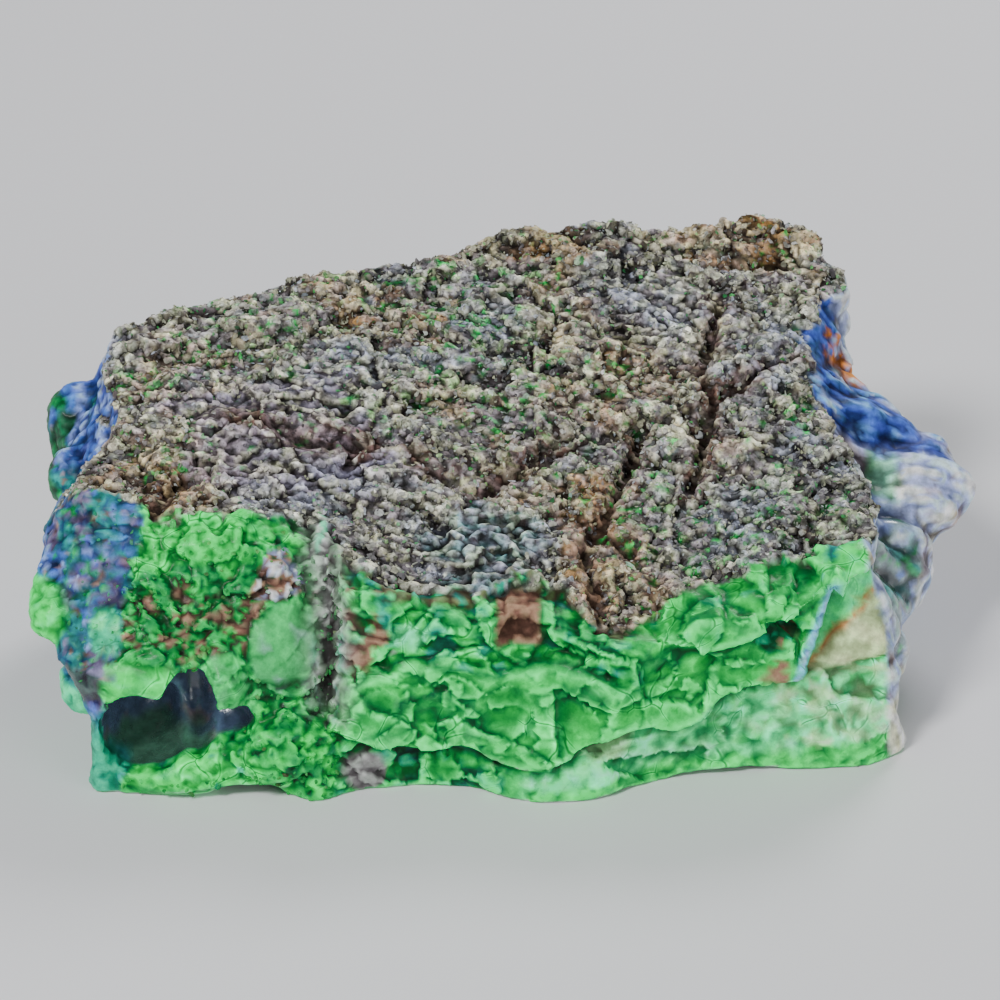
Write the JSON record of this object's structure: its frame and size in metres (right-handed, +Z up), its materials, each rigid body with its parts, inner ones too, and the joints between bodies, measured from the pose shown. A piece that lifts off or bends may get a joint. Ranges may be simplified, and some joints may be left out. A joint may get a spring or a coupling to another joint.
{
  "type": "chalcedony specimen, green, with weathered crust",
  "caption": "Rough block of green chalcedony with a weathered grey-brown crust on top, a broken glassy front and a pale waxy end; a display specimen that rests on its own underside.",
  "frame": {"origin": "bottom centre of the bounding box, on the surface that the stone rests on", "axes": "+X to the right along the broken front face and the stone's longest extent, +Y from the front face to the back, +Z up through the crust, the shortest extent"},
  "size_m": [0.1299, 0.0842, 0.0484],
  "materials": {
    "chalcedony": "waxy to glassy broken stone"
  },
  "bodies": {
    "root": {"chalcedony": "chalcedony"}
  },
  "joints": []
}
